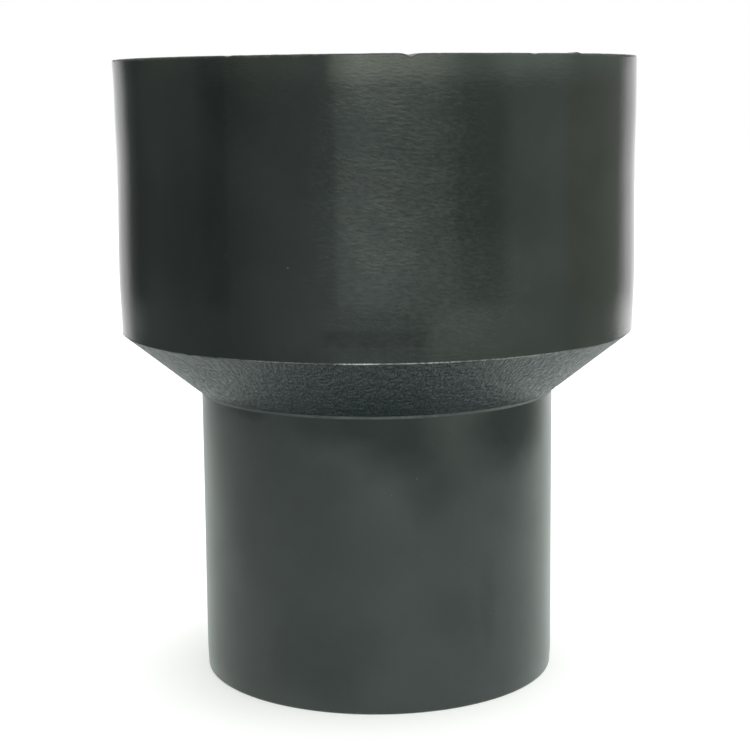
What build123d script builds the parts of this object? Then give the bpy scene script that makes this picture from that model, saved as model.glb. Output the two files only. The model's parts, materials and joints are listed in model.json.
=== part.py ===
from build123d import *
import os

# Pipe reducer with two plain ends, in millimetres.
# It stands on its small end. +Z runs up the axis that both ends share, and
# the origin is the centre of the small end's rim.

# Driving dimensions
LARGE_DIAMETER = 110.0   # outside of the large spigot
SMALL_DIAMETER = 75.7    # outside of the small spigot
LARGE_LENGTH = 57.3      # large spigot, from the upper seam to its rim
CONE_HEIGHT = 13.3       # from the cone's foot to the upper seam
SMALL_LENGTH = 61.8      # small spigot, from its rim to the cone's foot
LARGE_WALL = 4.3
SMALL_WALL = 3.6
CONE_WALL = 4.4          # measured square to the cone's face

# The large end opens very slightly towards its rim
BELL_LENGTH = 5.5
BELL_FLARE = 0.2         # on the radius
RIM_CHAMFER = 0.4

# Upper seam: the bead blunts the corner between the spigot and the cone
UPPER_REACH = 0.45       # how far it runs along each face from the corner
UPPER_ROOT = 2.2         # how deep it sits behind the corner
UPPER_RISE = -0.1        # its nose stops short of the sharp corner

# Cone's foot: the bead is a small proud lip
LOWER_REACH = 0.4
LOWER_ROOT = 1.8
LOWER_RISE = 0.3         # its nose stands past the corner

# Heights and radii that follow
foot_z = SMALL_LENGTH
seam_z = foot_z + CONE_HEIGHT
top_z = seam_z + LARGE_LENGTH
large_radius = LARGE_DIAMETER / 2
small_radius = SMALL_DIAMETER / 2
large_bore = large_radius - LARGE_WALL
small_bore = small_radius - SMALL_WALL
rim_radius = large_radius + BELL_FLARE

# Directions in the section, where X is the radius and Y is the height
up_cone = Vector(large_radius - small_radius, CONE_HEIGHT).normalized()
off_cone = Vector(up_cone.Y, -up_cone.X)
off_corner = (Vector(1, 0) + off_cone).normalized()
upper_corner = Vector(large_radius, seam_z)
lower_corner = Vector(small_radius, foot_z)
inner_face = upper_corner - off_cone * CONE_WALL


def inner_height(radius):
    """Height of the cone's inner face at a radius."""
    return inner_face.Y + (radius - inner_face.X) * up_cone.Y / up_cone.X


def inner_radius(height):
    """Radius of the cone's inner face at a height."""
    return inner_face.X + (height - inner_face.Y) * up_cone.X / up_cone.Y


def turned(*corners):
    """Turn a closed section, given by its corners as radius and height, about the axis."""
    outline = Polyline(*corners, close=True)
    return revolve(Plane.XZ * make_face(outline), Axis.Z)


# Where each bead meets its two neighbours
upper_on_spigot = upper_corner + Vector(0, UPPER_REACH)
upper_on_cone = upper_corner - up_cone * UPPER_REACH
upper_root = upper_corner - Vector(UPPER_ROOT, 0)
lower_on_spigot = lower_corner - Vector(0, LOWER_REACH)
lower_on_cone = lower_corner + up_cone * LOWER_REACH
lower_root = lower_corner - Vector(LOWER_ROOT, 0)

pieces = {}

# Large spigot: a plain tube with a slightly opened, broken-edged rim
pieces["large_spigot"] = turned(
    (inner_radius(seam_z), seam_z),
    upper_root,
    upper_on_spigot,
    (large_radius, top_z - BELL_LENGTH),
    (rim_radius, top_z - RIM_CHAMFER),
    (rim_radius - RIM_CHAMFER, top_z),
    (large_bore + RIM_CHAMFER, top_z),
    (large_bore, top_z - RIM_CHAMFER),
    (large_bore, inner_height(large_bore)),
)

# Bead on the corner where the cone starts
pieces["upper_seam_bead"] = turned(
    upper_root, upper_on_cone, upper_corner + off_corner * UPPER_RISE, upper_on_spigot
)

# Transition cone: an even wall from one spigot to the other
pieces["transition_cone"] = turned(
    (small_bore, foot_z),
    lower_root,
    lower_on_cone,
    upper_on_cone,
    upper_root,
    (inner_radius(seam_z), seam_z),
    (small_bore, inner_height(small_bore)),
)

# Lip round the cone's foot
pieces["lower_seam_bead"] = turned(
    lower_root, lower_on_spigot, lower_corner + off_corner * LOWER_RISE, lower_on_cone
)

# Small spigot: a plain tube with a broken-edged rim
pieces["small_spigot"] = turned(
    (small_bore + RIM_CHAMFER, 0),
    (small_radius - RIM_CHAMFER, 0),
    (small_radius, RIM_CHAMFER),
    lower_on_spigot,
    lower_root,
    (small_bore, foot_z),
    (small_bore, RIM_CHAMFER),
)

os.makedirs("parts", exist_ok=True)
for name, piece in pieces.items():
    export_step(piece, f"parts/{name}.step")
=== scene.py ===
"""A dark plastic pipe reducer on a pale table: its turned pieces, their finishes and the studio."""

import json
import logging
import math
from dataclasses import dataclass
from enum import Enum
from typing import Callable, Sequence

import bmesh
import bpy
from mathutils import Matrix, Vector, noise


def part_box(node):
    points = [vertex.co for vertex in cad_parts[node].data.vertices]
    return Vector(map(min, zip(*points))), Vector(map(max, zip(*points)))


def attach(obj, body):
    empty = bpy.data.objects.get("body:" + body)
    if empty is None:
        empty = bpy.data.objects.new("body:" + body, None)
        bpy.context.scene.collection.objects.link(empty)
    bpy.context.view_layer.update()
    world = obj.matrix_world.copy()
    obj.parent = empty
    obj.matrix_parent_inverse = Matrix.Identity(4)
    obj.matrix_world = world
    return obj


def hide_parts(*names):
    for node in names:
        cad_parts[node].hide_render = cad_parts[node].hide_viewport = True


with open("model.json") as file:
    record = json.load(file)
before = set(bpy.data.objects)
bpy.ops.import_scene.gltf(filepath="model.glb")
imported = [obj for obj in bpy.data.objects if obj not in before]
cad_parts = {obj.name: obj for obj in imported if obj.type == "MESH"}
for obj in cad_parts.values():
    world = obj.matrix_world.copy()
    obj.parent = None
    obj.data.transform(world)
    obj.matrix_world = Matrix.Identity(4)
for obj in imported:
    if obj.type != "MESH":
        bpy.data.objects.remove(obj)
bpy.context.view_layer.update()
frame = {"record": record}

log = logging.getLogger("reducer")

MM = 0.001
BODY = "root"
# A spun sector is doubled this many times to make the full turn
DOUBLINGS = 5
WELD = 0.005 * MM
INNER_ROUNDING = 1.2 * MM
SHARP_ANGLE = math.radians(50)

Colour = tuple[float, float, float]
# Pairs of position and value, in rising order
Curve = tuple[tuple[float, float], ...]
# Angle round the axis and half width in degrees, and height or depth in millimetres
Marks = tuple[tuple[float, float, float], ...]
Rows = tuple[tuple[float, ...], ...]


# ---- Node trees ----

class Graph:
    """A node tree with short calls for the nodes that the finishes use."""

    def __init__(self, tree: bpy.types.NodeTree) -> None:
        """Keep the tree that new nodes go into."""
        self.tree = tree

    def add(self, kind: str, inputs: dict | None = None, **settings) -> bpy.types.Node:
        """Add a node.

        Args:
            kind: The node's type, such as ShaderNodeMath.
            inputs: Socket name or number to a value or to another socket.
            settings: Properties of the node itself.

        Returns:
            The new node.
        """
        node = self.tree.nodes.new(kind)
        node.location.x = 180 * len(self.tree.nodes)
        for name, value in settings.items():
            setattr(node, name, value)
        for name, value in (inputs or {}).items():
            self.feed(node.inputs[name], value)
        return node

    def feed(self, socket: bpy.types.NodeSocket, value) -> None:
        """Link a socket to another, or set its value.

        Args:
            socket: The input that is fed.
            value: Another socket, a number or a colour.
        """
        if isinstance(value, bpy.types.NodeSocket):
            self.tree.links.new(value, socket)
        else:
            socket.default_value = value

    def math(self, operation: str, first, second=0.0, clamp: bool = False):
        """Join two values with a Math node and return its output."""
        node = self.add("ShaderNodeMath", {0: first, 1: second}, operation=operation,
                        use_clamp=clamp)
        return node.outputs[0]

    def times(self, first, second, clamp: bool = False):
        """Multiply two values and return the product."""
        return self.math("MULTIPLY", first, second, clamp)

    def total(self, values: Sequence):
        """Add several values up and return the sum."""
        result = values[0]
        for value in values[1:]:
            result = self.math("ADD", result, value)
        return result

    def ramp(self, value, start: float, end: float, low=0.0, high=1.0):
        """Ease a value from low to high while it goes from start to end."""
        node = self.add("ShaderNodeMapRange",
                        {"Value": value, "From Min": start, "From Max": end,
                         "To Min": low, "To Max": high},
                        interpolation_type="SMOOTHSTEP")
        return node.outputs["Result"]

    def place(self, vector, scale: Sequence[float] = (1, 1, 1), turn: float = 0.0,
              shift: Sequence[float] = (0, 0, 0)):
        """Scale, turn about Z and move a coordinate, and return it."""
        turned = self.add("ShaderNodeMapping",
                          {"Vector": vector, "Rotation": (0, 0, turn), "Location": shift})
        node = self.add("ShaderNodeMapping", {"Vector": turned.outputs[0], "Scale": scale})
        return node.outputs[0]

    def noise(self, vector, scale=1.0, detail: float = 2.0, roughness: float = 0.5,
              distortion: float = 0.0):
        """Return a soft noise value between 0 and 1."""
        node = self.add("ShaderNodeTexNoise",
                        {"Vector": vector, "Scale": scale, "Detail": detail,
                         "Roughness": roughness, "Distortion": distortion})
        return node.outputs["Fac"]

    def mix(self, factor, first, second):
        """Mix two colours by a factor and return the colour."""
        node = self.add("ShaderNodeMix", {0: factor, 6: first, 7: second}, data_type="RGBA",
                        clamp_factor=True)
        return node.outputs[2]

    def tint(self, mask, amount, colour, over: Colour):
        """Lay a plain colour over another where a mask is, by an amount."""
        return self.mix(self.times(mask, amount), colour, (*over, 1))

    def azimuth(self, axes):
        """Return the angle round the axis, from the front (-Y) towards +X, in radians."""
        return self.math("ARCTAN2", axes["X"], self.times(axes["Y"], -1.0))


class Group:
    """A shader node group that works on a coordinate, built once."""

    def __init__(self, name: str, output: str, inputs: dict[str, float],
                 fill: Callable[[Graph, dict], bpy.types.NodeSocket]) -> None:
        """Build the group.

        Args:
            name: The group's name.
            output: The name of the value that it puts out, or Vector.
            inputs: Name to default value of its inputs, beside Vector.
            fill: Takes the graph and its input sockets by name, and returns the output.
        """
        self.tree = bpy.data.node_groups.new(name, "ShaderNodeTree")
        self.socket("Vector", "INPUT")
        for label, default in inputs.items():
            self.socket(label, "INPUT").default_value = default
        self.socket(output, "OUTPUT")
        graph = Graph(self.tree)
        graph.add("NodeGroupOutput", {output: fill(graph, graph.add("NodeGroupInput").outputs)})

    def socket(self, label: str, way: str) -> bpy.types.NodeTreeInterfaceSocket:
        """Give the group an input or an output: a vector if that's its name, or a number."""
        kind = "NodeSocketVector" if label == "Vector" else "NodeSocketFloat"
        return self.tree.interface.new_socket(name=label, in_out=way, socket_type=kind)

    def put(self, graph: Graph, **inputs) -> bpy.types.NodeSocket:
        """Place the group in a material and return its output."""
        return graph.add("ShaderNodeGroup", inputs, node_tree=self.tree).outputs[0]


def fill_wander(graph: Graph, inputs: dict):
    """The coordinate, pushed about a little by soft noise."""
    cloud = graph.add("ShaderNodeTexNoise",
                      {"Vector": inputs["Vector"], "Detail": 2.0,
                       "Scale": graph.math("DIVIDE", 1.0, inputs["Size"])}).outputs["Color"]
    centred = graph.add("ShaderNodeVectorMath", {0: cloud, 1: (0.5, 0.5, 0.5)},
                        operation="SUBTRACT").outputs[0]
    push = graph.add("ShaderNodeVectorMath", {0: centred, "Scale": inputs["Reach"]},
                     operation="SCALE").outputs[0]
    moved = graph.add("ShaderNodeVectorMath", {0: inputs["Vector"], 1: push}, operation="ADD")
    return moved.outputs[0]


def lane(graph: Graph, around, length: float, width: float, degrees: float = 0.0,
         shift: Sequence[float] = (0, 0, 0)):
    """Return a coordinate that draws noise out into slanted streaks of a length and width."""
    return graph.place(around, (1 / length, 1 / width, 1), math.radians(degrees), shift)


def fill_ripple(graph: Graph, inputs: dict):
    """Short, flat waves that lie round the tube, as on slightly dragged plastic."""
    around = inputs["Vector"]
    level = graph.noise(lane(graph, around, 1.9 * MM, 0.55 * MM), detail=3.0)
    slanted = graph.noise(lane(graph, around, 1.5 * MM, 0.45 * MM, 17))
    patch = graph.noise(graph.place(around, (1 / (6 * MM),) * 3))
    waves = graph.math("ADD", level, graph.times(slanted, 0.7))
    return graph.times(waves, graph.ramp(patch, 0.3, 0.7, 0.5, 1.4))


def fill_scuffs(graph: Graph, inputs: dict):
    """Fine, short scratches in a few directions, in patches."""
    around = inputs["Vector"]
    layers = []
    for number, slant in enumerate((6, -38, 34, 58, 84)):
        shift = (0.013 * number, 0.007 * number, 0)
        strokes = graph.noise(lane(graph, around, 2.2 * MM, 0.17 * MM, slant, shift))
        patch = graph.noise(graph.place(around, (1 / (4 * MM),) * 3, shift=shift))
        layers.append(graph.times(graph.ramp(strokes, 0.48, 0.80),
                                 graph.ramp(patch, 0.36, 0.66)))
    return graph.times(graph.total(layers), inputs["Density"], clamp=True)


def fill_flecks(graph: Graph, inputs: dict):
    """Pale, flat flecks that lie round the tube."""
    broad = graph.noise(lane(graph, inputs["Vector"], 1.5 * MM, 0.6 * MM, 6))
    return graph.times(graph.ramp(broad, 0.3, 0.8), inputs["Density"])


def fill_grain(graph: Graph, inputs: dict):
    """A close moulded grain of rounded lumps, slightly longer down the slope than round it."""
    size = graph.math("DIVIDE", 1.0, inputs["Size"])
    slope = graph.place(inputs["Vector"], (1, 0.85, 1))
    lumps = graph.noise(slope, size, 1.5, 0.5, 0.4)
    return graph.ramp(lumps, 0.38, 0.62)


def fill_clouding(graph: Graph, inputs: dict):
    """Soft, broad patches."""
    size = graph.math("DIVIDE", 1.0, inputs["Size"])
    return graph.noise(inputs["Vector"], size, 3.0, 0.5, 0.3)


def fill_specks(graph: Graph, inputs: dict):
    """Sparse, tiny, round specks of dust."""
    cells = graph.add("ShaderNodeTexVoronoi",
                      {"Vector": inputs["Vector"],
                       "Scale": graph.math("DIVIDE", 1.0, inputs["Spacing"])})
    chance = graph.add("ShaderNodeSeparateColor", {"Color": cells.outputs["Color"]}).outputs[0]
    reach = graph.math("DIVIDE", graph.times(inputs["Size"], chance),
                       inputs["Spacing"])
    return graph.math("LESS_THAN", cells.outputs["Distance"], reach)


def fill_edge_wear(graph: Graph, inputs: dict):
    """Uneven wear that fades away from an edge at a height."""
    far = graph.math("ABSOLUTE", graph.math("SUBTRACT", inputs["Height"], inputs["Edge"]))
    broken = graph.noise(inputs["Vector"], 1 / (1.6 * MM), 3.0, 0.65)
    reach = graph.times(inputs["Reach"], graph.ramp(broken, 0.3, 0.75, 0.25, 1.6))
    return graph.ramp(graph.math("DIVIDE", far, reach), 0.2, 1.0, 1.0, 0.0)


class Effects:
    """The surface effects that several finishes share."""

    def __init__(self) -> None:
        """Build every group."""
        self.wander = Group("wander", "Vector", {"Size": 4 * MM, "Reach": 3 * MM}, fill_wander)
        self.ripple = Group("ripple", "Height", {}, fill_ripple)
        self.scuffs = Group("scuffs", "Mask", {"Density": 1.0}, fill_scuffs)
        self.flecks = Group("flecks", "Mask", {"Density": 1.0}, fill_flecks)
        self.grain = Group("grain", "Height", {"Size": 0.7 * MM}, fill_grain)
        self.clouding = Group("clouding", "Value", {"Size": 20 * MM}, fill_clouding)
        self.specks = Group("specks", "Mask", {"Spacing": 4 * MM, "Size": 0.12 * MM}, fill_specks)
        self.edge_wear = Group("edge_wear", "Mask",
                               {"Height": 0.0, "Edge": 0.0, "Reach": 0.5 * MM}, fill_edge_wear)


# ---- Finishes ----

class Touch(Enum):
    """What a patch does to the plastic."""

    DULL = "takes the gloss away"
    RUBBED = "brings the scuffs out"
    # PALE paints edges paler: partly plastic whitened where the trim bent and tore, partly a
    # painted highlight for the light lines that the seam and the foot lip catch.
    PALE = "whitens, as where the plastic was bent or torn"


@dataclass(frozen=True)
class Patch:
    """A soft area on the unrolled wall, from its middle to where it has faded out.

    A square one has straight sides that fade only close to its edge.
    """

    touch: Touch
    azimuth: float
    height: float
    width: float
    tall: float
    amount: float = 1.0
    square: bool = False

    def mask(self, graph: Graph, around, girth: float):
        """Return the patch's strength over the wall.

        Args:
            graph: The material's graph.
            around: The unrolled coordinate, in metres.
            girth: Radius that the wall was unrolled at.
        """
        middle = math.radians(self.azimuth) * girth
        node = graph.add("ShaderNodeMapping",
                         {"Vector": around, "Scale": (1 / self.width, 1 / self.tall, 1),
                          "Location": (-middle / self.width, -self.height / self.tall, 0)})
        if self.square:
            sides = graph.add("ShaderNodeSeparateXYZ", {0: node.outputs[0]}).outputs
            across, up = (graph.ramp(graph.math("ABSOLUTE", sides[axis]), 0.7, 1.0, 1.0, 0.0)
                          for axis in ("X", "Y"))
            return graph.times(graph.times(across, up), self.amount)
        oval = graph.add("ShaderNodeTexGradient", {"Vector": node.outputs[0]},
                         gradient_type="SPHERICAL").outputs["Fac"]
        return graph.ramp(oval, 0.0, 0.8, 0.0, self.amount)


def patches(touch: Touch, level: float, rows: Rows) -> tuple[Patch, ...]:
    """Make soft patches of one kind.

    Args:
        touch: What they do.
        level: The height that theirs are measured from.
        rows: Angle in degrees; height, half width and half height in millimetres; amount.

    Returns:
        The patches.
    """
    return tuple(Patch(touch, angle, level + height * MM, width * MM, tall * MM, amount)
                 for angle, height, width, tall, amount in rows)


@dataclass(frozen=True)
class Plastic:
    """One moulded finish of the dark plastic."""

    name: str
    dark: Colour
    light: Colour
    roughness: float
    sheen_roughness: float
    ior: float = 1.45
    gloss: float = 0.0
    gloss_clouding: float = 0.0
    cloud_size: float = 22 * MM
    ripple_height: float = 0.0
    scuff_density: float = 0.0
    scuff_depth: float = 0.0
    scuff_pale: float = 0.05
    scuff_rough: float = 0.12
    fleck_density: float = 0.2
    fleck_pale: float = 0.07
    grain_size: float = 0.38 * MM
    grain_height: float = 0.0
    grain_pale: float = 0.04
    # Slope of the grained face and its height at the axis: well above it the piece is smooth
    grain_face: tuple[float, float] = (0.0, 0.0)
    grain_fade: tuple[float, float] = (1 * MM, 3 * MM)
    dust: float = 0.5
    dust_colour: Colour = (0.3, 0.31, 0.3)
    worn_edges: tuple[float, ...] = ()
    worn_reach: float = 0.5 * MM
    worn_pale: float = 0.15
    # Colour of the PALE patches: whitened trim and painted highlight.
    worn_colour: Colour = (0.16, 0.18, 0.17)
    pale_trim_and_highlight_colour: Colour = (0.5, 0.53, 0.5)
    # Share of the ripple's height on clean plastic and on rubbed plastic
    rubbed_ripple: tuple[float, float] = (0.5, 1.8)
    patches: tuple[Patch, ...] = ()
    girth: float = 0.0

    def touched(self, graph: Graph, around, strayed, touch: Touch):
        """Return the sum of the patches of one kind, or None; only square ones stay true."""
        masks = [patch.mask(graph, around if patch.square else strayed, self.girth)
                 for patch in self.patches if patch.touch is touch]
        return graph.total(masks) if masks else None

    def grain(self, graph: Graph, effects: Effects, place, around, height):
        """Return the grain's height, on the outer face only.

        Args:
            graph: The material's graph.
            effects: The shared node groups.
            place: The object coordinate.
            around: The unrolled coordinate.
            height: The object coordinate's Z.
        """
        grain = effects.grain.put(graph, Vector=around, Size=self.grain_size)
        flat = graph.add("ShaderNodeVectorMath", {0: place, 1: (1, 1, 0)},
                         operation="MULTIPLY").outputs["Vector"]
        radius = graph.add("ShaderNodeVectorMath", {0: flat}, operation="LENGTH").outputs["Value"]
        slope, face = self.grain_face
        start, end = self.grain_fade
        over = graph.math("SUBTRACT", height, graph.times(radius, slope))
        return graph.times(grain, graph.ramp(over, face + start, face + end, 1.0, 0.0))

    def material(self, effects: Effects) -> bpy.types.Material:
        """Build the material.

        Args:
            effects: The shared node groups.

        Returns:
            The finished material.
        """
        made = bpy.data.materials.new(self.name)
        made.use_nodes = True
        graph = Graph(made.node_tree)
        shader = made.node_tree.nodes["Principled BSDF"]
        shader.inputs["IOR"].default_value = self.ior
        shader.inputs["Coat IOR"].default_value = 1.5
        shader.inputs["Coat Roughness"].default_value = self.sheen_roughness
        coordinates = graph.add("ShaderNodeTexCoord")
        place, around = coordinates.outputs["Object"], coordinates.outputs["UV"]
        height = graph.add("ShaderNodeSeparateXYZ", {0: place}).outputs["Z"]
        strayed = effects.wander.put(graph, Vector=around)
        dull, rubbed, pale_trim_and_highlight = (self.touched(graph, around, strayed, touch)
                              for touch in (Touch.DULL, Touch.RUBBED, Touch.PALE))

        clouds = effects.clouding.put(graph, Vector=place, Size=self.cloud_size)
        colour = graph.mix(graph.ramp(clouds, 0.3, 0.7), (*self.dark, 1), (*self.light, 1))
        gloss = graph.ramp(clouds, 0.25, 0.75, self.gloss - self.gloss_clouding,
                           self.gloss + self.gloss_clouding)
        if dull:
            gloss = graph.times(gloss, graph.math("SUBTRACT", 1.0, dull, clamp=True))
        rough = self.roughness
        bumps = []
        if self.ripple_height:
            ripple = effects.ripple.put(graph, Vector=around)
            strength = self.ripple_height
            if rubbed:
                strength = graph.ramp(rubbed, 0, 1, *(share * self.ripple_height
                                                      for share in self.rubbed_ripple))
            bumps.append(graph.times(ripple, strength))
        if self.grain_height:
            grain = self.grain(graph, effects, place, around, height)
            bumps.append(graph.times(grain, self.grain_height))
            colour = graph.tint(grain, self.grain_pale, colour, self.worn_colour)
        if self.scuff_density:
            density, flecked = self.scuff_density, self.fleck_density
            if rubbed:
                density = graph.math("ADD", density, rubbed)
                flecked = graph.math("ADD", flecked, rubbed)
            flecks = effects.flecks.put(graph, Vector=around, Density=flecked)
            colour = graph.tint(flecks, self.fleck_pale, colour, self.worn_colour)
            scuffs = effects.scuffs.put(graph, Vector=around, Density=density)
            bumps.append(graph.times(scuffs, -self.scuff_depth))
            rough = graph.math("ADD", rough, graph.times(scuffs, self.scuff_rough))
            colour = graph.tint(scuffs, self.scuff_pale, colour, self.worn_colour)
        for edge in self.worn_edges:
            worn = effects.edge_wear.put(graph, Vector=place, Height=height, Edge=edge,
                                         Reach=self.worn_reach)
            colour = graph.tint(worn, self.worn_pale, colour, self.worn_colour)
        # PALE patches: whitened trim, and painted highlight along the seam and the foot lip.
        if pale_trim_and_highlight:
            broken = graph.ramp(graph.noise(place, 1 / (0.8 * MM)), 0.34, 0.56, 0.3, 1.0)
            colour = graph.tint(pale_trim_and_highlight, broken, colour, self.pale_trim_and_highlight_colour)
        specks = effects.specks.put(graph, Vector=place)
        colour = graph.tint(specks, self.dust, colour, self.dust_colour)
        graph.feed(shader.inputs["Base Color"], colour)
        graph.feed(shader.inputs["Roughness"], rough)
        graph.feed(shader.inputs["Coat Weight"], gloss)
        if bumps:
            relief = graph.add("ShaderNodeBump",
                               {"Height": graph.total(bumps), "Distance": 1.0, "Strength": 1.0})
            graph.feed(shader.inputs["Normal"], relief.outputs["Normal"])
        return made


# ---- Turned pieces ----

@dataclass(frozen=True)
class Corner:
    """A corner of a turned section, with the radius that rounds it off."""

    radius: float
    height: float
    rounding: float = 0.0


def blend_stops(stops: Curve, where: float) -> float:
    """Read a smooth curve through a few stops.

    Args:
        stops: The curve's stops.
        where: The position.

    Returns:
        The value there, level beyond both ends.
    """
    if where <= stops[0][0]:
        return stops[0][1]
    for (low, start), (high, end) in zip(stops, stops[1:]):
        if where <= high:
            step = (where - low) / (high - low)
            return start + (end - start) * step * step * (3 - 2 * step)
    return stops[-1][1]


def azimuth_of(point: Vector) -> float:
    """Angle round the axis in radians, from the front (-Y) towards +X."""
    return math.atan2(point.x, -point.y)


def soft_noise(point: Vector, size: float, seed: float) -> float:
    """Smooth noise from about -1 to 1 at a place, for bumps of a given size."""
    return noise.noise(Vector((point.x, point.y, point.z + seed)) / size)


def marks_at(marks: Marks, azimuth: float) -> float:
    """Sum of the small bumps or nicks round the axis at an angle in degrees."""
    return sum(size * math.exp(-((azimuth - angle) / width) ** 2)
               for angle, width, size in marks)


def push_out(point: Vector, radius: float, push: Vector) -> Vector:
    """Move a point by a vector of its upright section: outwards is X and up is Z."""
    return point + Vector((point.x / radius * push.x, point.y / radius * push.x, push.z))


@dataclass
class TurnedPiece:
    """A piece turned about the upright axis, then moved a little where it isn't true."""

    name: str
    node: str
    slot: str
    finish: Plastic
    shape: "Shape"
    steps: int = 768
    # Too wide to divide anything: the rings are only those of the corners
    pitch: float = 9 * MM

    def section(self) -> list[Corner]:
        """The closed outline, as corners."""
        raise NotImplementedError

    def ring_pitch(self, middle: Vector) -> float:
        """Spacing of the rings near a point of the section."""
        return self.pitch

    def settle(self, point: Vector, azimuth: float, radius: float) -> Vector:
        """Where a point of the true shape really lies."""
        raise NotImplementedError

    def outline(self, mesh: bmesh.types.BMesh) -> None:
        """Draw the section as a closed wire, round its corners and divide its runs.

        Args:
            mesh: An empty bmesh.
        """
        corners = self.section()
        points = [mesh.verts.new((corner.radius, 0, corner.height)) for corner in corners]
        for first, second in zip(points, points[1:] + points[:1]):
            mesh.edges.new((first, second))
        for rounding in sorted({corner.rounding for corner in corners if corner.rounding}):
            chosen = [point for point, corner in zip(points, corners)
                      if corner.rounding == rounding]
            bmesh.ops.bevel(mesh, geom=chosen, offset=rounding, offset_type="OFFSET", segments=4,
                            profile=0.5, affect="VERTICES", clamp_overlap=True, material=-1)
        for edge in list(mesh.edges):
            middle = (edge.verts[0].co + edge.verts[1].co) / 2
            cuts = int(edge.calc_length() / self.ring_pitch(middle))
            if cuts:
                bmesh.ops.subdivide_edges(mesh, edges=[edge], cuts=cuts)

    def turn(self, mesh: bmesh.types.BMesh) -> None:
        """Spin a sector of the piece and double it round to the full turn.

        Args:
            mesh: The section, as a closed wire.
        """
        sectors = 2 ** DOUBLINGS
        bmesh.ops.spin(mesh, geom=mesh.verts[:] + mesh.edges[:], cent=(0, 0, 0), axis=(0, 0, 1),
                       angle=math.tau / sectors, steps=self.steps // sectors,
                       use_merge=False, use_duplicate=False)
        for doubling in range(DOUBLINGS):
            copied = bmesh.ops.duplicate(mesh, geom=mesh.verts[:] + mesh.edges[:] + mesh.faces[:])
            moved = [part for part in copied["geom"] if isinstance(part, bmesh.types.BMVert)]
            turn = Matrix.Rotation(math.tau * 2 ** doubling / sectors, 3, "Z")
            bmesh.ops.rotate(mesh, cent=(0, 0, 0), matrix=turn, verts=moved)
        bmesh.ops.remove_doubles(mesh, verts=mesh.verts[:], dist=WELD)
        bmesh.ops.recalc_face_normals(mesh, faces=mesh.faces[:])

    def build(self, effects: Effects) -> bpy.types.Object:
        """Make the piece, dress it and set it on its body.

        Args:
            effects: The shared node groups.

        Returns:
            The finished object.
        """
        mesh = bmesh.new()
        self.outline(mesh)
        self.turn(mesh)
        self.unroll(mesh)
        for vertex in mesh.verts:
            radius = math.hypot(vertex.co.x, vertex.co.y)
            azimuth = math.degrees(azimuth_of(vertex.co))
            vertex.co = self.settle(vertex.co.copy(), azimuth, radius)
        data = bpy.data.meshes.new(self.name)
        mesh.to_mesh(data)
        mesh.free()
        data.shade_smooth()
        data.set_sharp_from_angle(angle=SHARP_ANGLE)
        piece = bpy.data.objects.new(self.name, data)
        bpy.context.scene.collection.objects.link(piece)
        data.materials.append(self.finish.material(effects))
        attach(piece, BODY)
        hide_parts(self.node)
        log.info("%s: %d faces", self.name, len(data.polygons))
        return piece

    def unroll(self, mesh: bmesh.types.BMesh) -> None:
        """Give the piece a UV map in metres: along the girth, and up the wall.

        Args:
            mesh: The turned mesh, still true.
        """
        layer = mesh.loops.layers.uv.new("unrolled")
        girth = max(vertex.co.x for vertex in mesh.verts)
        for face in mesh.faces:
            middle = azimuth_of(face.calc_center_median())
            for loop in face.loops:
                point = loop.vert.co
                angle = azimuth_of(point)
                angle -= math.tau * round((angle - middle) / math.tau)
                radius = math.hypot(point.x, point.y)
                loop[layer].uv = (angle * girth, point.z + girth - radius)


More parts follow.
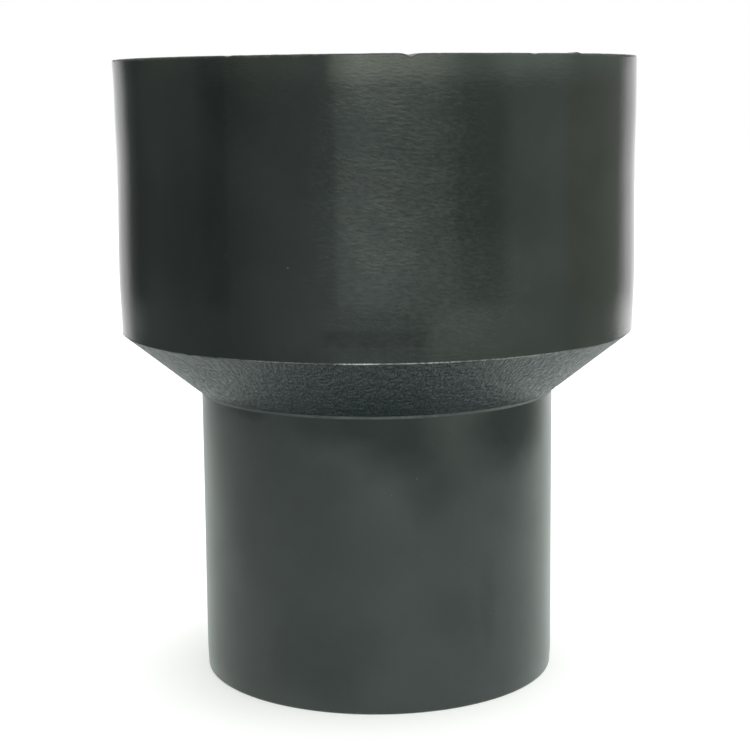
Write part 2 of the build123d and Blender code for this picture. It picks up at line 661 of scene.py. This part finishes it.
@dataclass(frozen=True)
class Shape:
    """The fitting's true sizes, from the frame."""

    large_radius: float
    large_bore: float
    small_radius: float
    small_bore: float
    foot: float
    seam: float
    top: float
    cone_wall: float = 4.4 * MM
    # How far the pieces at each seam reach along the faces, and into the wall
    head_reach: float = 0.22 * MM
    head_root: float = 2.2 * MM
    foot_reach: float = 0.4 * MM
    foot_root: float = 1.8 * MM
    # How far the narrow half stands out at its rim, low down and at the foot, and how far aside
    swell: tuple[float, float, float] = (0.36, 0.52, 0.42)
    aside: float = -0.2

    @classmethod
    def from_frame(cls) -> "Shape":
        """Read the sizes from the mounts and from the boxes of the nodes."""
        radii = {mount["name"]: mount["dims"].get("r_mm", 0) * MM
                 for mount in frame["record"]["mounts"]}
        return cls(large_radius=radii["large_spigot"], large_bore=radii["large_bore"],
                   small_radius=radii["small_spigot"], small_bore=radii["small_bore"],
                   foot=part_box("transition_cone")[0].z, seam=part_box("transition_cone")[1].z,
                   top=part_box("large_spigot")[1].z)

    @property
    def head_corner(self) -> Vector:
        """The cone's corner with the wide tube, in the section."""
        return Vector((self.large_radius, 0, self.seam))

    @property
    def foot_corner(self) -> Vector:
        """The cone's corner with the narrow tube, in the section."""
        return Vector((self.small_radius, 0, self.foot))

    @property
    def slope(self) -> float:
        """Rise of the cone for each unit of radius."""
        return (self.seam - self.foot) / (self.large_radius - self.small_radius)

    @property
    def along_cone(self) -> Vector:
        """Direction up the cone's face, in the section."""
        return Vector((1, 0, self.slope)).normalized()

    @property
    def off_cone(self) -> Vector:
        """Direction straight out of the cone's face, in the section."""
        return Vector((self.along_cone.z, 0, -self.along_cone.x))

    @property
    def off_corner(self) -> Vector:
        """Direction out of a corner between the cone and a tube, in the section."""
        return (Vector((1, 0, 0)) + self.off_cone).normalized()

    def inner_height(self, radius: float) -> float:
        """Height of the cone's inner face at a radius."""
        start = self.head_corner - self.off_cone * self.cone_wall
        return start.z + (radius - start.x) * self.slope

    def inner_radius(self, height: float) -> float:
        """Radius of the cone's inner face at a height."""
        return (height - self.inner_height(0.0)) / self.slope

    def fill_out(self, point: Vector, radius: float) -> Vector:
        """Move a point outside the narrow half to where it really is: fuller, and a little aside.

        Args:
            point: A point of the true shape, from the foot's rim to the seam.
            radius: Its distance from the axis.

        Returns:
            The moved point.
        """
        outside = blend_stops(((self.small_bore, 0), (self.small_radius, 1)), radius)
        rim, low, foot = self.swell
        swell = blend_stops(((0, rim), (4 * MM, low), (self.foot, foot), (self.seam, 0)), point.z)
        aside = blend_stops(((self.foot, self.aside), (self.seam, 0)), point.z)
        grow = 1 + swell * outside * MM / radius
        return Vector((point.x * grow + aside * MM, point.y * grow, point.z))


@dataclass
class LargeSpigot(TurnedPiece):
    """The wide tube: slightly waisted, opened at its sawn rim."""

    # The band at each end that stays a plain run
    end: float = 3 * MM
    # Height above the seam, and how far the wall stands out there, in millimetres
    form: Curve = ((0, 0.12), (12, 0.42), (36, 0.14), (48, 0.32))
    # Angle round the rim in degrees, and how far the wall leans out by the rim there
    lean: Curve = ((-180, 0.1), (-110, 0.3), (-78, 0.26), (-50, -0.1), (-22, -0.12), (-10, -0.2),
                   (60, -0.2), (100, 0.12), (180, 0.1))
    lean_start: float = 49.0
    # Size and depth of the soft dents, in millimetres, and a seed
    dents: Rows = ((30, 0.03, 0), (9, 0.006, 0.3))
    nicks: Marks = ((6.8, 1.0, 0.62), (-30, 0.6, 0.2), (33, 0.5, 0.25), (44.5, 1.0, -0.22),
                    (82, 2.0, 0.3), (-74, 1.0, 0.25), (140, 1.2, 0.35), (-155, 0.8, 0.3))
    nick_height: float = 1.2 * MM
    # Size and depth of the rim's raggedness, in millimetres
    ragged: Rows = ((1.1, 0.03), (4, 0.03), (40, 0.06))

    def section(self) -> list[Corner]:
        """The closed outline, as corners."""
        s = self.shape
        return [
            Corner(s.inner_radius(s.seam), s.seam),
            Corner(s.large_radius - s.head_root, s.seam),
            Corner(s.large_radius, s.seam + s.head_reach),
            Corner(s.large_radius, s.seam + self.end),
            Corner(s.large_radius, s.top - self.end),
            Corner(s.large_radius, s.top, 0.3 * MM),
            Corner(s.large_bore, s.top, 0.35 * MM),
            Corner(s.large_bore, s.top - self.end),
            Corner(s.large_bore, s.inner_height(s.large_bore), INNER_ROUNDING),
        ]

    def ring_pitch(self, middle: Vector) -> float:
        """Close rings at the rim and the seam, wide ones inside."""
        if middle.z > self.shape.top - self.end:
            return 0.3 * MM
        if middle.x < self.shape.large_radius - 0.1 * MM:
            return 4 * MM
        return 1.1 * MM

    def settle(self, point: Vector, azimuth: float, radius: float) -> Vector:
        """Waist, bell, soft dents, and a sawn rim with nicks."""
        s = self.shape
        height = (point.z - s.seam) / MM
        outside = blend_stops(((s.large_bore + 1 * MM, 0), (s.large_radius - 0.6 * MM, 1)), radius)
        bend = max(0.0, (height - self.lean_start) * MM / (s.top - s.seam - self.lean_start * MM))
        swell = blend_stops(self.form, height) + blend_stops(self.lean, azimuth) * bend * bend
        dents = sum(depth * soft_noise(point, size * MM, seed) for size, depth, seed in self.dents)
        grow = (swell + dents) * MM * (0.25 + 0.75 * outside)
        near_rim = blend_stops(((s.top - self.nick_height, 0), (s.top, 1)), point.z)
        if near_rim:
            around = Vector((point.x, point.y, 0))
            drop = sum(depth * noise.noise(around / (size * MM)) for size, depth in self.ragged)
            drop += marks_at(self.nicks, azimuth) * (0.35 + 0.65 * outside)
            point.z -= drop * MM * near_rim
        return Vector((point.x * (1 + grow / radius), point.y * (1 + grow / radius), point.z))


@dataclass
class TransitionCone(TurnedPiece):
    """The steep ring between the spigots, grained outside."""

    # A point that lies deeper than this isn't on the outer face
    skin: float = 0.05 * MM
    grain_depth: float = 0.10 * MM
    grain_size: float = 0.6 * MM
    grain_lumps: Curve = ((-0.3, -0.5), (0.3, 0.5))
    wave_height: float = 0.06 * MM

    def section(self) -> list[Corner]:
        """The closed outline, as corners."""
        s = self.shape
        foot = s.foot_corner + s.along_cone * s.foot_reach
        head = s.head_corner - s.along_cone * s.head_reach
        return [
            Corner(s.small_bore, s.foot),
            Corner(s.small_radius - s.foot_root, s.foot),
            Corner(foot.x, foot.z),
            Corner(head.x, head.z),
            Corner(s.large_radius - s.head_root, s.seam),
            Corner(s.inner_radius(s.seam), s.seam),
            Corner(s.small_bore, s.inner_height(s.small_bore), INNER_ROUNDING),
        ]

    def depth_in(self, point: Vector) -> float:
        """How far a point lies behind the outer face."""
        flat = Vector((math.hypot(point.x, point.y), 0, point.z))
        return -(flat - self.shape.head_corner).dot(self.shape.off_cone)

    def ring_pitch(self, middle: Vector) -> float:
        """Close rings outside, wide ones inside."""
        return 0.3 * MM if self.depth_in(middle) < self.skin else 2.5 * MM

    def settle(self, point: Vector, azimuth: float, radius: float) -> Vector:
        """Raise the grain on the outer face, away from its two edges."""
        s = self.shape
        if self.depth_in(point) > self.skin:
            return point
        inset = min(radius - s.small_radius - s.foot_reach,
                    s.large_radius - s.head_reach - radius)
        weight = blend_stops(((0, 0), (0.4 * MM, 1)), inset)
        lump = noise.noise(point / self.grain_size)
        lift = blend_stops(self.grain_lumps, lump) * self.grain_depth * weight
        lift += self.wave_height * soft_noise(point, 14 * MM, 0.5)
        return s.fill_out(push_out(point, radius, s.off_cone * lift), radius)


@dataclass
class SmallSpigot(TurnedPiece):
    """The narrow tube that the fitting stands on."""

    # The band at the rim with close rings
    end: float = 3 * MM

    def section(self) -> list[Corner]:
        """The closed outline, as corners."""
        s = self.shape
        return [
            Corner(s.small_bore, 0, 0.3 * MM),
            Corner(s.small_radius, 0, 0.35 * MM),
            Corner(s.small_radius, self.end),
            Corner(s.small_radius, s.foot - s.foot_reach),
            Corner(s.small_radius - s.foot_root, s.foot),
            Corner(s.small_bore, s.foot),
        ]

    def ring_pitch(self, middle: Vector) -> float:
        """Close rings at the rim, wide ones inside."""
        if middle.z < self.end:
            return 0.4 * MM
        return 1.2 * MM if middle.x > self.shape.small_radius - 0.1 * MM else 4 * MM

    def settle(self, point: Vector, azimuth: float, radius: float) -> Vector:
        """A slight swell and soft waves in the wall."""
        waves = 0.03 * soft_noise(point, 30 * MM, 1.0) + 0.008 * soft_noise(point, 10 * MM, 1.4)
        grow = 1 + waves * blend_stops(((0, 0.3), (self.end, 1)), point.z) * MM / radius
        return self.shape.fill_out(Vector((point.x * grow, point.y * grow, point.z)), radius)


@dataclass
class SeamFlash(TurnedPiece):
    """The trimmed flash on the corner over the cone: a blunt edge with a broken, thin fin."""

    fin: float = 0.14 * MM
    # How far back the trimmed corner and the ring over it stand, in millimetres
    trimmed: float = 0.05
    wall_step: float = 0.06
    fin_reach: float = 0.4
    # Blobs left by the trimming
    blobs: Marks = ((-85, 12, 0.16), (88, 10, 0.12), (-12.3, 0.35, 0.3), (-8.5, 0.3, 0.25),
                    (3, 0.25, 0.18), (14, 0.4, 0.15), (100, 0.4, 0.3), (-120, 0.3, 0.25))

    def section(self) -> list[Corner]:
        """The closed outline, as corners."""
        s = self.shape
        corner = s.head_corner
        below = corner - s.along_cone * s.head_reach
        lip = corner - s.along_cone * self.fin
        return [
            Corner(s.large_radius - s.head_root, s.seam),
            Corner(below.x, below.z),
            Corner(lip.x, lip.z),
            Corner(corner.x, corner.z),
            Corner(corner.x, corner.z + self.fin),
            Corner(corner.x, corner.z + s.head_reach),
        ]

    def settle(self, point: Vector, azimuth: float, radius: float) -> Vector:
        """Blunt the corner, and pull its edge out into a broken fin."""
        s = self.shape
        if radius < s.large_radius - s.head_reach:
            return point
        if point.z > s.seam + s.head_reach * 0.9:
            return push_out(point, radius, Vector((-self.wall_step * MM, 0, 0)))
        out = -self.trimmed
        if abs(point.z - s.seam) < self.fin * 0.3:
            around = Vector((point.x, point.y, 0))
            broken = noise.noise(around / (2.2 * MM)) + 0.7 * noise.noise(around / (0.7 * MM))
            patch = 0.5 + noise.noise(around / (17 * MM))
            out += max(0.0, broken + 0.05) * self.fin_reach * patch
            out += marks_at(self.blobs, azimuth)
        return push_out(point, radius, s.off_corner * out * MM)


@dataclass
class FootLip(TurnedPiece):
    """The small proud roll round the cone's foot."""

    rise: float = 0.1 * MM

    def section(self) -> list[Corner]:
        """The closed outline, as corners."""
        s = self.shape
        corner = s.foot_corner
        above = corner + s.along_cone * s.foot_reach
        nose = corner + s.off_corner * self.rise
        return [
            Corner(s.small_radius - s.foot_root, s.foot),
            Corner(s.small_radius, s.foot - s.foot_reach),
            Corner(nose.x, nose.z, 0.2 * MM),
            Corner(above.x, above.z),
        ]

    def settle(self, point: Vector, azimuth: float, radius: float) -> Vector:
        """Let the roll swell and thin a little."""
        grow = 1.0
        if radius > self.shape.small_radius + 0.1 * MM:
            grow += 0.07 * MM * soft_noise(point, 6 * MM, 0.0) / radius
        return self.shape.fill_out(Vector((point.x * grow, point.y * grow, point.z)), radius)


# ---- Studio ----

class Ring(Enum):
    """A ring of the room: the elevations in degrees where it starts and has taken over."""

    TABLE = (-91, -90)
    EYE_LEVEL = (-11, -7)
    ABOVE = (1, 4.5)
    CEILING = (16, 50)


class Tint(Enum):
    """The colours of the light in the room."""

    WHITE = (1.0, 1.0, 1.0)
    COOL = (0.94, 1.05, 1.01)
    GREEN = (0.94, 1.10, 0.96)
    OLIVE = (1.0, 1.08, 0.92)


WHITE, COOL, GREEN, OLIVE = Tint

# Angle from the camera's side (-Y) towards +X in degrees, and the light that comes from there
ROOM: dict[Ring, tuple[tuple[float, float, Tint], ...]] = {
    Ring.TABLE: (
        (-180, 1.7, WHITE), (-155, 1.3, WHITE), (-145, 0.75, WHITE), (-136, 0.55, COOL),
        (-120, 0.22, COOL), (-85, 0.2, COOL), (-58, 0.27, COOL), (-40, 0.47, COOL),
        (-22, 0.64, COOL), (18, 0.62, COOL), (26, 1.1, GREEN), (38, 1.2, GREEN), (60, 1.06, GREEN),
        (90, 0.62, GREEN), (115, 0.42, OLIVE), (126, 0.55, WHITE), (138, 1.6, WHITE),
        (150, 2.1, WHITE), (180, 1.7, WHITE)),
    Ring.EYE_LEVEL: (
        (-180, 0.9, WHITE), (-160, 0.85, WHITE), (-145, 0.66, WHITE), (-135, 0.15, COOL),
        (-126, 0.09, COOL), (-108, 0.19, COOL), (-84, 0.22, COOL), (-76, 0.13, COOL),
        (-67, 0.13, COOL), (-65, 0.23, COOL), (-48, 0.42, COOL), (-17.8, 0.58, COOL),
        (-15.6, 0.96, COOL), (-4, 1.12, COOL), (14, 0.86, COOL), (28, 0.66, GREEN),
        (36, 0.43, GREEN), (52, 0.5, GREEN), (60, 0.78, GREEN), (82, 0.74, GREEN),
        (92, 0.55, OLIVE), (114, 0.38, OLIVE), (130, 0.3, OLIVE), (142, 0.8, WHITE),
        (160, 0.92, WHITE), (180, 0.9, WHITE)),
    Ring.ABOVE: (
        (-180, 0.45, WHITE), (-160, 0.36, WHITE), (-132, 0.3, OLIVE), (-105, 0.36, OLIVE),
        (-70, 0.45, COOL), (-52, 0.8, OLIVE), (-21, 0.7, COOL), (-17, 1.8, OLIVE), (-8, 3.2, OLIVE),
        (4, 2.9, OLIVE), (24, 2.3, OLIVE), (38, 1.35, GREEN), (48, 1.3, GREEN), (60, 1.75, GREEN),
        (82, 1.5, GREEN), (98, 0.78, GREEN), (130, 0.35, GREEN), (142, 0.24, OLIVE),
        (160, 0.5, WHITE), (180, 0.45, WHITE)),
    Ring.CEILING: ((0, 1.1, WHITE),),
}


@dataclass
class Studio:
    """The table, the room, the lights and the camera."""

    shape: Shape
    near: float = 0.33
    glow: float = 0.35
    pale: Colour = (0.7, 0.7, 0.7)
    near_pale: Colour = (0.85, 0.90, 0.875)
    near_glow: Colour = (1.21, 1.29, 1.25)
    # Where the camera is, from the middle of the seam's plane, and how it's turned in degrees
    eye: tuple[float, float, float] = (-0.59 * MM, -371.7 * MM, 50.6 * MM)
    tip: float = 9.425
    roll: float = -0.527

    def build(self) -> None:
        """Make all of it."""
        self.make_room()
        self.make_table("table", 2.0, near=False)
        self.make_table("near_table", self.near, near=True)
        self.make_lights()
        self.make_camera()

    def make_room(self) -> None:
        """Paint the room round the table, white where the camera looks past the fitting."""
        world = bpy.data.worlds.new("room")
        bpy.context.scene.world = world
        world.use_nodes = True
        graph = Graph(world.node_tree)
        background = world.node_tree.nodes["Background"]
        direction = graph.add("ShaderNodeTexCoord").outputs["Generated"]
        axes = graph.add("ShaderNodeSeparateXYZ", {0: direction}).outputs
        azimuth = graph.azimuth(axes)
        turned = graph.math("ADD", graph.math("DIVIDE", azimuth, math.tau), 0.5)
        elevation = graph.times(180 / math.pi, graph.math("ARCSINE", axes["Z"]))
        colour = (0, 0, 0, 1)
        for ring, stops in ROOM.items():
            colour = graph.mix(graph.ramp(elevation, *ring.value), colour,
                               self.round_colour(graph, turned, stops))
        looked_at = graph.add("ShaderNodeLightPath").outputs["Is Camera Ray"]
        colour = graph.mix(looked_at, colour, (1, 1, 1, 1))
        graph.feed(background.inputs["Color"], colour)

    def round_colour(self, graph: Graph, turned, stops: Sequence[tuple[float, float, Tint]]):
        """Colour a ring by angle.

        Args:
            graph: The room's graph.
            turned: The angle as a share of a turn, from behind the fitting.
            stops: Angle in degrees, brightness and tint, in rising order.

        Returns:
            The colour socket.
        """
        node = graph.add("ShaderNodeValToRGB", {"Fac": turned})
        elements = node.color_ramp.elements
        while len(elements) < len(stops):
            elements.new(1.0)
        while len(elements) > len(stops):
            elements.remove(elements[-1])
        for element, (angle, level, tint) in zip(elements, stops):
            element.position = angle / 360 + 0.5
            element.color = (*(level * part for part in tint.value), 1)
        return node.outputs["Color"]

    def make_table(self, name: str, half: float, near: bool) -> None:
        """Lay a pale table top under the fitting.

        The near one is all that the shiny walls see of the table: beyond it they see the room.

        Args:
            name: The object's name.
            half: Half the top's side, or the near top's radius.
            near: Whether the top is the near, round one.
        """
        mesh = bmesh.new()
        if near:
            bmesh.ops.create_circle(mesh, cap_ends=True, segments=96, radius=half)
        else:
            bmesh.ops.create_grid(mesh, x_segments=1, y_segments=1, size=half)
        data = bpy.data.meshes.new(name)
        mesh.to_mesh(data)
        mesh.free()
        top = bpy.data.objects.new(name, data)
        for look in ("visible_camera", "visible_diffuse", "visible_shadow"):
            setattr(top, look, not near)
        top.visible_glossy = near
        bpy.context.scene.collection.objects.link(top)
        data.materials.append(self.table_finish(name, shaded=near))

    def table_finish(self, name: str, shaded: bool) -> bpy.types.Material:
        """Make the table's pale, matt finish.

        Args:
            name: The material's name.
            shaded: Whether it's dimmer to the fitting's left and brighter behind it.

        Returns:
            The finished material.
        """
        made = bpy.data.materials.new(name)
        made.use_nodes = True
        graph = Graph(made.node_tree)
        shader = made.node_tree.nodes["Principled BSDF"]
        shader.inputs["Base Color"].default_value = (*self.pale, 1)
        shader.inputs["Roughness"].default_value = 0.9
        shader.inputs["Emission Color"].default_value = (1, 1, 1, 1)
        shader.inputs["Emission Strength"].default_value = self.glow
        if shaded:
            place = graph.add("ShaderNodeTexCoord").outputs["Object"]
            axes = graph.add("ShaderNodeSeparateXYZ", {0: place}).outputs
            azimuth = graph.azimuth(axes)
            behind = graph.ramp(graph.math("ABSOLUTE", azimuth), 1.4, 2.5, 0.8, 1.02)
            aside = graph.ramp(azimuth, -1.1, -0.3, 0.8, 1.0)
            light = graph.times(behind, aside)
            for socket, colour in (("Base Color", self.near_pale),
                                   ("Emission Color", self.near_glow)):
                graph.feed(shader.inputs[socket], graph.mix(light, (0, 0, 0, 1), (*colour, 1)))
        return made

    def make_lights(self) -> None:
        """Hang one large soft light over the table."""
        light = bpy.data.lights.new("overhead", "AREA")
        light.energy = 12
        light.size = 1.2
        lamp = bpy.data.objects.new("overhead", light)
        lamp.location = (0.15, 0.25, 1.3)
        lamp.visible_camera = False
        lamp.visible_glossy = False
        bpy.context.scene.collection.objects.link(lamp)

    def make_camera(self) -> None:
        """Set the camera in front, a little above the seam and tipped down."""
        data = bpy.data.cameras.new("camera")
        data.sensor_width = 36
        data.lens = 82.25
        data.clip_start = 0.01
        camera = bpy.data.objects.new("camera", data)
        place = Vector(self.eye) + Vector((0, 0, self.shape.seam))
        camera.matrix_world = (Matrix.Translation(place)
                               @ Matrix.Rotation(math.radians(90 - self.tip), 4, "X")
                               @ Matrix.Rotation(math.radians(self.roll), 4, "Z"))
        bpy.context.scene.collection.objects.link(camera)
        bpy.context.scene.camera = camera
        bpy.context.scene.view_settings.view_transform = "Standard"


# ---- The whole fitting ----

def finishes(shape: Shape) -> dict[str, Plastic]:
    """The plastic's finishes, by the piece that they are on."""
    seam, foot = shape.seam, shape.foot
    strip_breaks = tuple((angle, 3.6, 1.5, 1.3, -0.4) for angle in (-8.3, -4.6, -0.9, 2.8, 6.5))
    large_patches = (
        Patch(Touch.DULL, -0.6, seam + 4.7 * MM, 11.4 * MM, 1.9 * MM, 0.6, square=True),
        *patches(Touch.DULL, seam, strip_breaks),
        *patches(Touch.RUBBED, seam, (
            (5, 30, 22, 46, 0.9), (20, 12, 22, 18, 0.35), (150, 24, 34, 30, 0.7),
            (-112, 36, 24, 26, 0.6))),
    )
    small_patches = (
        *patches(Touch.DULL, foot, (
            (4, -2, 13, 14, 0.95), (-15, -1, 12, 8, 0.7), (-45, 0, 10, 3, 0.5),
            (47, -3, 16, 15, 1.05), (15, -13, 8, 14, 0.35), (110, -3, 16, 12, 0.6),
            (-120, -2, 20, 10, 0.6))),
        *patches(Touch.DULL, 0, (
            (-16, 12, 17, 14, 0.3), (36, 20, 3, 14, 0.2), (165, 18, 20, 18, 0.4))),
    )
    flash_patches = (
        # Pale patches on the flash at the seam: partly whitened trim, partly painted highlight,
        # strongest at the front where the edge catches the light.
        *patches(Touch.PALE, seam, (
            (-3, 0, 7, 6, 0.8), (9, 0, 9, 6, 0.45), (30, 0, 24, 6, 0.35), (-22, 0, 16, 6, 0.2),
            (-150, 0, 26, 6, 0.6))),
        # Painted highlight: a faint pale line along the foot lip, where it catches the light.
        *patches(Touch.PALE, foot, ((0, 0, 26, 4, 0.05), (33, 0, 16, 4, 0.07))),
    )
    return {
        "large": Plastic("scuffed_plastic", (0.0065, 0.0092, 0.0082), (0.0095, 0.0125, 0.0115),
                         roughness=0.10, sheen_roughness=0.06, ior=1.33, gloss=0.48,
                         gloss_clouding=0.10, ripple_height=0.031 * MM, scuff_density=0.14,
                         scuff_depth=0.003 * MM, worn_edges=(shape.top,),
                         patches=large_patches, girth=shape.large_radius),
        "cone": Plastic("grained_plastic", (0.008, 0.0135, 0.0145), (0.011, 0.0175, 0.0185),
                        roughness=0.30, sheen_roughness=0.4, grain_height=0.085 * MM,
                        grain_face=(shape.slope, seam - shape.large_radius * shape.slope)),
        "small": Plastic("satin_plastic", (0.010, 0.0145, 0.0135), (0.013, 0.018, 0.017),
                         roughness=0.36, sheen_roughness=0.33, ior=1.27, gloss=0.72,
                         gloss_clouding=0.06, cloud_size=15 * MM, scuff_density=0.04,
                         scuff_depth=0.002 * MM, worn_edges=(0.0,), patches=small_patches,
                         girth=shape.small_radius),
        # The beads' colour is paler than the tubes': partly trimmed plastic, partly a painted
        # highlight for the light lines along the seam and the foot lip.
        "bead": Plastic("trimmed_and_highlit_plastic", (0.015, 0.021, 0.021), (0.024, 0.031, 0.030),
                        roughness=0.42, sheen_roughness=0.45, cloud_size=3 * MM,
                        patches=flash_patches, girth=shape.large_radius),
    }


def main() -> None:
    """Build everything in order."""
    shape = Shape.from_frame()
    effects = Effects()
    looks = finishes(shape)
    pieces = (
        LargeSpigot("wide_tube", "large_spigot", "large_spigot", looks["large"], shape),
        SeamFlash("seam_flash", "upper_seam_bead", "seam_bead", looks["bead"], shape, steps=1536),
        TransitionCone("grained_cone", "transition_cone", "grained_cone", looks["cone"], shape,
                       steps=1088),
        FootLip("foot_lip", "lower_seam_bead", "seam_bead", looks["bead"], shape),
        SmallSpigot("narrow_tube", "small_spigot", "small_spigot", looks["small"], shape),
    )
    for piece in pieces:
        piece.build(effects)
    Studio(shape).build()


if __name__ == "__main__":
    logging.basicConfig(level=logging.INFO, format="%(name)s: %(message)s")
    main()
